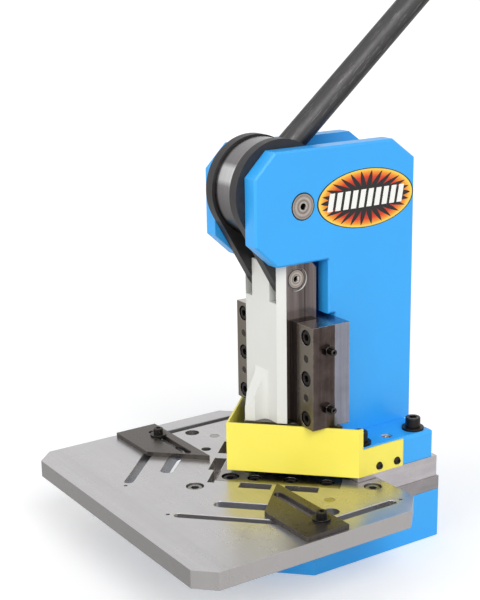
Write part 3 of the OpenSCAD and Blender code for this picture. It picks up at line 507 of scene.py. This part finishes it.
def oiled_black(name, colour, edge_rub_and_glint, roughness, metal=0.75, scale=260.0, knurl=0.0,
                depth=0.00002):
    """Black oxide on steel: mottled, rubbed to grey on its edges with a painted glint there too,
    ribbed upright if knurled.
    """
    material, tree, skin = start_material(name)
    skin.inputs["Metallic"].default_value = metal
    edges = use(tree, edge_wear_and_glint, Radius=0.0007, Reach=0.22, Breakup_Scale=220.0)
    marks = use(tree, smears, Scale=90.0, Contrast=1.6)
    pale = tuple(1.7 * part + 0.004 for part in colour[:3]) + (1.0,)
    toned = blend_colours(tree, marks.outputs[0], colour, pale)
    rubbed_and_glinting = calc(tree, "MULTIPLY", edges.outputs["Mask"], 0.55)
    tree.links.new(blend_colours(tree, rubbed_and_glinting, toned, edge_rub_and_glint), skin.inputs["Base Color"])
    oil = 0.2
    oiled = calc(tree, "MULTIPLY_ADD", marks.outputs[0], oil, roughness - oil / 2)
    tree.links.new(oiled, skin.inputs["Roughness"])
    bump = put(tree, "ShaderNodeBump", Strength=0.35, Distance=depth)
    tree.links.new(use(tree, orange_peel, Scale=scale * 4).outputs[0], bump.inputs["Height"])
    tree.links.new(edges.outputs["Rounded Normal"], bump.inputs["Normal"])
    tree.links.new(bump.outputs[0], skin.inputs["Normal"])
    if knurl:
        ribs = use(tree, metal_grain, Lines_X=900.0, Lines_Y=900.0, Lines_Z=2.0)
        ribbed = put(tree, "ShaderNodeBump", Strength=0.8, Distance=knurl)
        tree.links.new(ribs.outputs["Height"], ribbed.inputs["Height"])
        tree.links.new(bump.outputs[0], ribbed.inputs["Normal"])
        tree.links.new(ribbed.outputs[0], skin.inputs["Normal"])
    return material


screw_black = oiled_black("screw_black_oxide", shade(30, 27, 26), shade(120, 116, 112), 0.42)
dress(screw_black, "foot_washers", "guard_screws", "guide_plate_screws",
      "keeper_screws", "lower_blade_screws", "corner_screw", "holder_screws",
      "upper_blade_screws", "gauge_nut_left", "gauge_nut_right")
screw_bright = bare_metal("bright_screw_steel", shade(142, 140, 138), 0.33, (300, 300, 300),
                          0.00001)
dress(screw_bright, "table_screws")
clamp_black = oiled_black("knurled_screw_black", shade(34, 31, 30), shade(150, 148, 146), 0.34,
                          knurl=0.00022)
dress(clamp_black, "foot_bolts", "gauge_screw_left", "gauge_screw_right", "gauge_washer_left",
      "gauge_washer_right")
dowel_steel = bare_metal("ground_dowel_steel", shade(160, 156, 154), 0.22, (240, 240, 240),
                         0.00001)
dress(dowel_steel, "table_dowels", "shaft_key", "handle_pin")
dark_dowel = bare_metal("dark_dowel_steel", shade(62, 54, 48), 0.3, (240, 240, 240), 0.00001)
dress(dark_dowel, "keeper_dowels")
# the near-white colour on their edges is a painted glint
nut_black = oiled_black("nut_black_polished", shade(52, 48, 46), shade(210, 206, 202), 0.22,
                        metal=1.0)
dress(nut_black, "gib_set_screws", "gib_lock_nuts")


# ---- Guard ----------------------------------------------------------------------------------
# One 3 mm sheet, folded to a point and at both sides of the foot, and sprayed bright yellow.

# the paler yellow on the rubbed edges is partly a painted highlight
guard_yellow = sprayed_paint("guard_yellow_paint", shade(255, 240, 96), shade(255, 250, 190), 0.30,
                             peel=0.00003, wear=0.3, radius=0.0008)
dress(guard_yellow, "guard")


# ---- Guides: back plate, keepers and gibs -----------------------------------------------------
# Tool steel ground on a surface grinder and left dark; the back plate is cleaner and bluish.

keeper_steel = bare_metal("dark_keeper_steel", shade(92, 80, 76), 0.26, (260, 260, 12), 0.00002,
                          contrast=0.4, glint=0.6, radius=0.0011, mottle=0.6)
# painted light by facing: front faces lighter and greener, tops much paler as a painted reflection
paint_light_on_faces(keeper_steel, (0, -1, 0), shade(128, 122, 110), 0.7)
paint_light_on_faces(keeper_steel, (0, 0, 1), shade(196, 190, 184), 0.85)
dress(keeper_steel, "keeper_left", "keeper_right")
gib_steel = bare_metal("dark_gib_steel", shade(76, 70, 67), 0.32, (260, 260, 6), 0.00002,
                       contrast=0.3, glint=0.2, mottle=0.3)
dress(gib_steel, "gib_left", "gib_right")
guide_steel = bare_metal("blue_guide_steel", shade(154, 156, 169), 0.24, (260, 260, 5), 0.00002,
                         contrast=0.3, mottle=0.25)
dress(guide_steel, "guide_back_plate")


# ---- Ram --------------------------------------------------------------------------------------
# A steel block, painted off-white on its front and bevels and ground like a mirror on the two
# sides that run in the guides; the cross pin is ground flush in its counterbore.

ram_finish = sprayed_paint("ram_off_white_paint", shade(226, 226, 221), shade(190, 190, 186), 0.42,
                           peel=0.00003, wear=0.35)
tree, skin, painted = colour_so_far(ram_finish)
facing_x, facing_y = place_split(tree, "Normal")[:2]
place_x = place_split(tree)[0]
nearly_square, side_skin = 0.9, 0.003
on_side = calc(tree, "GREATER_THAN", calc(tree, "ABSOLUTE", facing_x), nearly_square)
on_back = calc(tree, "GREATER_THAN", facing_y, nearly_square)
outside = calc(tree, "GREATER_THAN", calc(tree, "ABSOLUTE", place_x),
               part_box("ram")[1].x - side_skin)
ground = calc(tree, "MAXIMUM", calc(tree, "MULTIPLY", on_side, outside), on_back)
lines = use(tree, metal_grain, Lines_X=500.0, Lines_Y=500.0, Lines_Z=5.0)
side_tone = blend_colours(tree, lines.outputs["Tone"], shade(62, 55, 53), shade(150, 139, 137))
tree.links.new(blend_colours(tree, ground, painted, side_tone), skin.inputs["Base Color"])
dull = skin.inputs["Roughness"].links[0].from_socket
kept = calc(tree, "SUBTRACT", 1.0, calc(tree, "MULTIPLY", ground, 0.6))
tree.links.new(calc(tree, "MULTIPLY", dull, kept), skin.inputs["Roughness"])
tree.links.new(ground, skin.inputs["Metallic"])
dress(ram_finish, "ram")


def turned_end(name, node):
    """Steel of a pin whose two ends show the rings of the lathe tool, with bright and dark rings of
    painted reflection, darkest at the centre and at the rim.
    """
    low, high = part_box(node)
    middle, radius, ring_step = (low + high) / 2, (high.y - low.y) / 2, 0.0011
    material = bare_metal(name, shade(206, 198, 192), 0.22, (60, 500, 500), 0.00001)
    tree, skin, before = colour_so_far(material)
    place_y, place_z = place_split(tree)[1:]
    off_y = calc(tree, "SUBTRACT", place_y, middle.y)
    off_z = calc(tree, "SUBTRACT", place_z, middle.z)
    off = calc(tree, "MULTIPLY_ADD", off_y, off_y, calc(tree, "MULTIPLY", off_z, off_z))
    off = calc(tree, "DIVIDE", calc(tree, "SQRT", off), radius)
    # painted reflections: bright and dark rings round the axis, dark at the centre and at the rim
    rings = ramp(tree, off, (0.0, shade(30, 28, 27)), (0.2, shade(70, 66, 64)),
                 (0.3, shade(255, 255, 255)), (0.46, shade(168, 162, 158)),
                 (0.62, shade(250, 248, 246)), (0.8, shade(186, 180, 176)),
                 (0.9, shade(230, 226, 222)), (0.96, shade(60, 56, 54)))
    turned = blend_colours(tree, 1.0, before, rings, blend="MULTIPLY")
    tree.links.new(turned, skin.inputs["Base Color"])
    groove = calc(tree, "SINE", calc(tree, "MULTIPLY", off, radius * 2 * math.pi / ring_step))
    bump = put(tree, "ShaderNodeBump", Strength=0.25, Distance=0.00004)
    tree.links.new(groove, bump.inputs["Height"])
    tree.links.new(skin.inputs["Normal"].links[0].from_socket, bump.inputs["Normal"])
    tree.links.new(bump.outputs[0], skin.inputs["Normal"])
    return material


dress(turned_end("turned_pin_end", "ram_pin"), "ram_pin")
dress(turned_end("turned_shaft_end", "main_shaft"), "main_shaft")


# ---- Eccentric drum, links and bushes -----------------------------------------------------------
# The drum is turned and ground round its rim, with painted reflection and shade round it; the links
# are flame-cut teardrops finished in black; the bushes are bronze.

drum_steel = bare_metal("turned_drum_steel", shade(202, 201, 202), 0.24, (900, 6, 6), 0.00002,
                        contrast=0.2, glint=0.3)
tree, skin, before = colour_so_far(drum_steel)
place_y, place_z = place_split(tree)[1:]
drum_r, link_eye_r = 0.076, 0.079
drum_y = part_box("eccentric_hub")[0].y + drum_r
drum_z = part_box("link_right")[1].z - link_eye_r
# painted light round the drum: dark underneath as painted shade, near-white high on the front as a
# painted reflection
round_drum = calc(tree, "ARCTAN2", calc(tree, "SUBTRACT", place_z, drum_z),
                  calc(tree, "SUBTRACT", drum_y, place_y))
round_drum = calc(tree, "MULTIPLY_ADD", round_drum, 1 / math.pi, 0.5)
painted_light_band = ramp(tree, round_drum, (0.26, shade(24, 22, 22)), (0.38, shade(120, 118, 118)),
            (0.55, shade(168, 166, 166)), (0.585, shade(246, 246, 246)),
            (0.665, shade(252, 252, 252)), (0.70, shade(160, 158, 158)),
            (0.92, shade(176, 174, 174)))
drum_with_painted_light = blend_colours(tree, 1.0, before, painted_light_band, blend="MULTIPLY")
tree.links.new(drum_with_painted_light, skin.inputs["Base Color"])
dress(drum_steel, "eccentric_hub")
link_black = oiled_black("link_black_steel", shade(38, 36, 37), shade(110, 106, 104), 0.46,
                         metal=0.3, scale=120.0)
dress(link_black, "link_left", "link_right")
bush_bronze = bare_metal("turned_bronze", shade(176, 128, 72), 0.35, (900, 60, 60), 0.00002)
dress(bush_bronze, "bush_left", "bush_right")


# ---- Handle -----------------------------------------------------------------------------------
# A drawn steel tube, black with grey scratches worn along it and a painted highlight down the side
# that faces the right lamp, with a plain plug in its end and a cross pin in the drum.

handle_black = oiled_black("handle_worn_black", shade(30, 29, 30), shade(120, 118, 117), 0.42,
                           metal=0.35, scale=90.0, depth=0.00006)
# painted highlight on the side of the tube that faces the right lamp
paint_light_on_faces(handle_black, (0.78, -0.45, 0.42), shade(92, 90, 90), 0.4)
tree, skin, before = colour_so_far(handle_black)
cap_low, cap_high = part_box("handle_cap")
hub_low, hub_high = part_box("eccentric_hub")
pull = ((cap_low + cap_high) / 2 - (hub_low + hub_high) / 2).normalized()
across_tube, along_tube = 320, 24
places = put(tree, "ShaderNodeTexCoord")
streak = put(tree, "ShaderNodeCombineXYZ")
for axis, toward, per_metre in (("X", (1, 0, 0), across_tube),
                                ("Y", (0, pull.z, -pull.y), across_tube),
                                ("Z", pull, along_tube)):
    along = put(tree, "ShaderNodeVectorMath", operation="DOT_PRODUCT")
    tree.links.new(places.outputs["Object"], along.inputs[0])
    along.inputs[1].default_value = [per_metre * part for part in toward]
    tree.links.new(along.outputs["Value"], streak.inputs[axis])
scratches = put(tree, "ShaderNodeTexNoise", Scale=1.0, Detail=4.0, Roughness=0.75)
tree.links.new(streak.outputs[0], scratches.inputs["Vector"])
worn = calc(tree, "MULTIPLY_ADD", scratches.outputs[0], 4.0, -2.2, clamp=True)
tree.links.new(blend_colours(tree, worn, before, shade(132, 130, 129)), skin.inputs["Base Color"])
dress(handle_black, "handle_tube")
cap_black = sprayed_paint("handle_cap_black", shade(26, 26, 27), shade(60, 60, 60), 0.5,
                          peel=0.00005, wear=0.3)
dress(cap_black, "handle_cap")


# ---- Gauges -----------------------------------------------------------------------------------
# Flat bars cut square at one end and at 45 degrees at the other, slotted and finished satin black.

gauge_black = oiled_black("gauge_satin_black", shade(66, 61, 57), shade(150, 144, 138), 0.3,
                          metal=0.7, scale=60.0, depth=0.000006)
dress(gauge_black, "gauge_left", "gauge_right")


# ---- Floor, lamps and camera --------------------------------------------------------------------
# A plain pale floor without an end, one broad lamp from the right and above, a weaker one from the
# front, and the camera where the photograph was taken from.

far, floor_drop = 40, 0.0005
floor = plain_mesh("floor", [(-far, -far, 0), (far, -far, 0), (far, far, 0), (-far, far, 0)],
                   [(0, 1, 2, 3)], smooth=False)
floor.location.z = -floor_drop
floor_paint, tree, skin = start_material("pale_floor")
skin.inputs["Base Color"].default_value = (0.9, 0.9, 0.9, 1)
skin.inputs["Roughness"].default_value = 0.9
skin.inputs["Emission Color"].default_value = (1, 1, 1, 1)
rays = put(tree, "ShaderNodeLightPath")
tree.links.new(calc(tree, "MULTIPLY", rays.outputs["Is Camera Ray"], 0.24),
               skin.inputs["Emission Strength"])
floor.data.materials.append(floor_paint)

world = bpy.data.worlds.new("studio")
bpy.context.scene.world = world
world.use_nodes = True
tree = world.node_tree
tree.nodes.clear()
sky = put(tree, "ShaderNodeBackground", Color=(1, 1, 1, 1))
rays = put(tree, "ShaderNodeLightPath")
seen = calc(tree, "MAXIMUM", rays.outputs["Is Camera Ray"], rays.outputs["Is Glossy Ray"])
seen = calc(tree, "MAXIMUM", seen, rays.outputs["Is Transmission Ray"])
tree.links.new(calc(tree, "MULTIPLY_ADD", seen, 0.5, 0.5), sky.inputs["Strength"])
tree.links.new(sky.outputs[0], put(tree, "ShaderNodeOutputWorld").inputs["Surface"])


def sun(name, toward, strength, spread):
    """A lamp far away; toward points from the object to the lamp."""
    data = bpy.data.lights.new(name, "SUN")
    data.energy = strength
    data.angle = math.radians(spread)
    lamp = bpy.data.objects.new(name, data)
    lamp.rotation_mode = "QUATERNION"
    lamp.rotation_quaternion = Vector(toward).to_track_quat("Z", "Y")
    bpy.context.scene.collection.objects.link(lamp)


sun("lamp_right", (1.0, -0.25, 0.9), 1.45, 35)
sun("lamp_front", (0.05, -1.0, 0.45), 1.0, 50)

# the photo's camera, solved from the square corners of table, plates and guides
focal_px, photo_height_px, sensor_mm = 1282.534, 600, 36
camera_place = (1.566354, -1.178081, 0.925841)
camera_right = (0.551608, 0.833953, -0.01584)
camera_up = (-0.212366, 0.158781, 0.964204)
camera_back = (0.806616, -0.528499, 0.264688)
camera_data = bpy.data.cameras.new("photo_camera")
camera_data.sensor_width = sensor_mm
camera_data.lens = focal_px * sensor_mm / photo_height_px
camera = bpy.data.objects.new("photo_camera", camera_data)
axes = Matrix((camera_right, camera_up, camera_back)).transposed()
camera.matrix_world = Matrix.Translation(camera_place) @ axes.to_4x4()
bpy.context.scene.collection.objects.link(camera)
bpy.context.scene.camera = camera
bpy.context.scene.view_settings.view_transform = "Standard"
